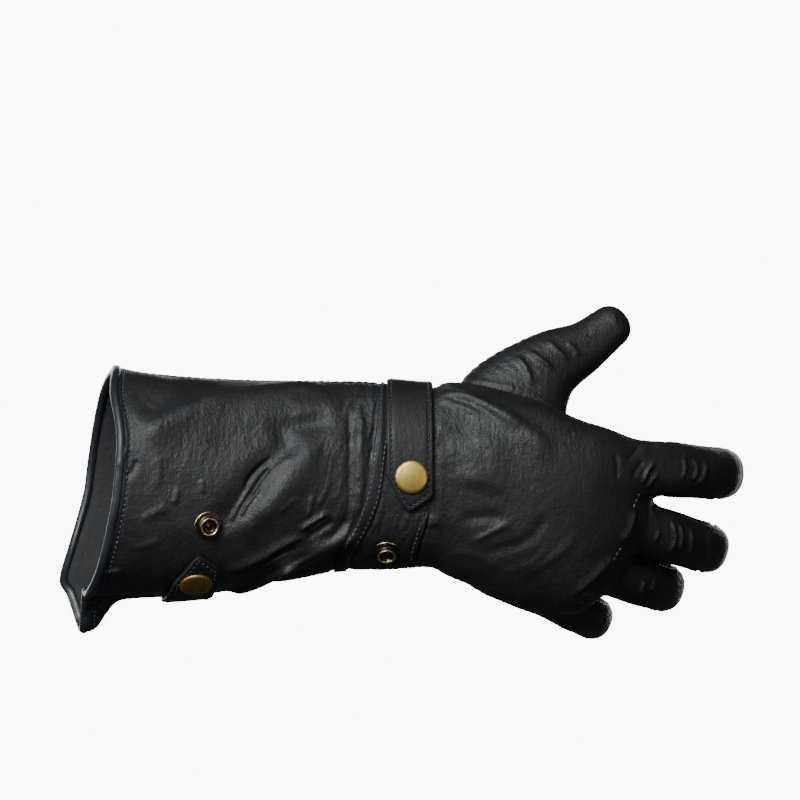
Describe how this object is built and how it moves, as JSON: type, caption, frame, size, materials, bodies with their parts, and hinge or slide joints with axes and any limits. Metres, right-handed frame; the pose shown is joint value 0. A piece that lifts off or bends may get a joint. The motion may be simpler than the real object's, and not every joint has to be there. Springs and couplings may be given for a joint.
{
  "type": "gauntlet glove",
  "caption": "Right-hand leather glove with a long flared cuff, a snapped wrist strap, a snapped cuff tab and spare snap studs; held in the form of a half-open hand.",
  "frame": {"origin": "middle of the cuff's open end, where the forearm goes in", "axes": "+X from the cuff's open end to the fingertips, +Z to the thumb side, -Y the way the back of the hand faces"},
  "size_m": [0.3059, 0.1317, 0.1485],
  "materials": {
    "leather": "black, semi-gloss, fine grain",
    "hem_leather": "black, glossy, rolled edge",
    "strap_leather": "black, semi-gloss",
    "cap_brass": "antique, brushed by wear",
    "stud_brass": "antique, darkened in its hollows"
  },
  "bodies": {
    "root": {"cuff_back": "leather", "cuff_palm": "leather", "cuff_binding": "hem_leather", "wrist_band": "leather", "hand_back": "leather", "hand_palm": "leather", "thumb": "leather", "index_side_strip_lower": "leather", "middle_side_strip_upper": "leather", "middle_side_strip_lower": "leather", "ring_side_strip_upper": "leather", "ring_side_strip_lower": "leather", "little_side_strip_upper": "leather", "wrist_strap": "strap_leather", "cuff_tab": "strap_leather", "strap_snap_cap": "cap_brass", "tab_snap_cap": "cap_brass", "wrist_stud": "stud_brass", "cuff_stud": "stud_brass"}
  },
  "joints": []
}
